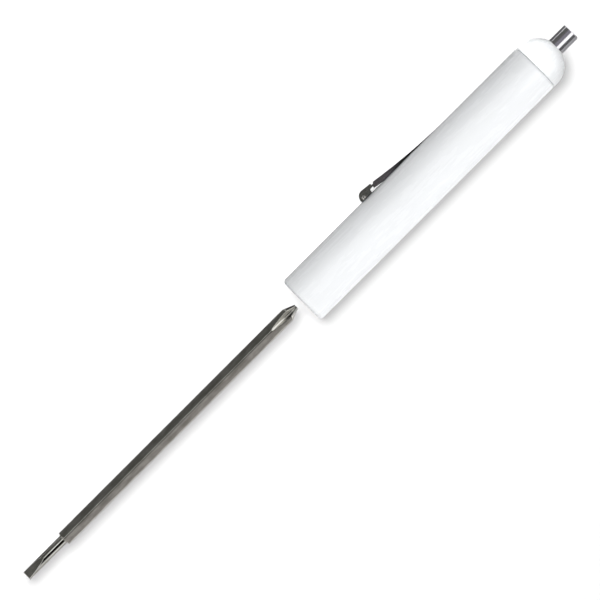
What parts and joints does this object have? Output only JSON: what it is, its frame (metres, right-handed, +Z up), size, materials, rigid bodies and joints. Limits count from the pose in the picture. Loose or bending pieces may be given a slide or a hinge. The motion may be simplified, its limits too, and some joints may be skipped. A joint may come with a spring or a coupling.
{
  "type": "pocket screwdriver",
  "caption": "Pen-shaped pocket screwdriver: white handle with a pocket clip and a magnet in its domed end, and a reversible hexagon blade with a cross tip and a flat tip.",
  "frame": {"origin": "on the tool's axis, at the mouth of the hexagonal hole in the nose", "axes": "+X along the tool's axis from the nose towards the magnet, +Y towards the pocket clip, +Z up with the tool lying on its side"},
  "size_m": [0.1807, 0.0147, 0.0126],
  "materials": {
    "handle_white": "smooth moulded white plastic, medium gloss",
    "cup_plating": "bright plated steel with fine turning lines",
    "magnet_alloy": "ground magnet alloy, dull",
    "socket_plastic": "plain moulded plastic",
    "blade_steel": "bright plated hardened steel with fine grinding lines",
    "clip_steel": "plated spring steel, smooth"
  },
  "bodies": {
    "handle": {"barrel": "handle_white", "dome_cap": "handle_white", "magnet_cup": "cup_plating", "magnet": "magnet_alloy", "blade_socket": "socket_plastic"},
    "blade": {"blade": "blade_steel"},
    "clip": {"pocket_clip": "clip_steel"}
  },
  "joints": [
    {"name": "blade_slide", "type": "slide", "parent": "handle", "child": "blade", "axis": [1, 0, 0], "range_m": [0, 0.03785]},
    {"name": "clip_flex", "type": "hinge", "parent": "handle", "child": "clip", "pos_m": [0.0772, 0.0056, 0], "axis": [0, 0, -1], "range_deg": [0, 3.5], "stiffness_Nm_per_rad": 5}
  ]
}
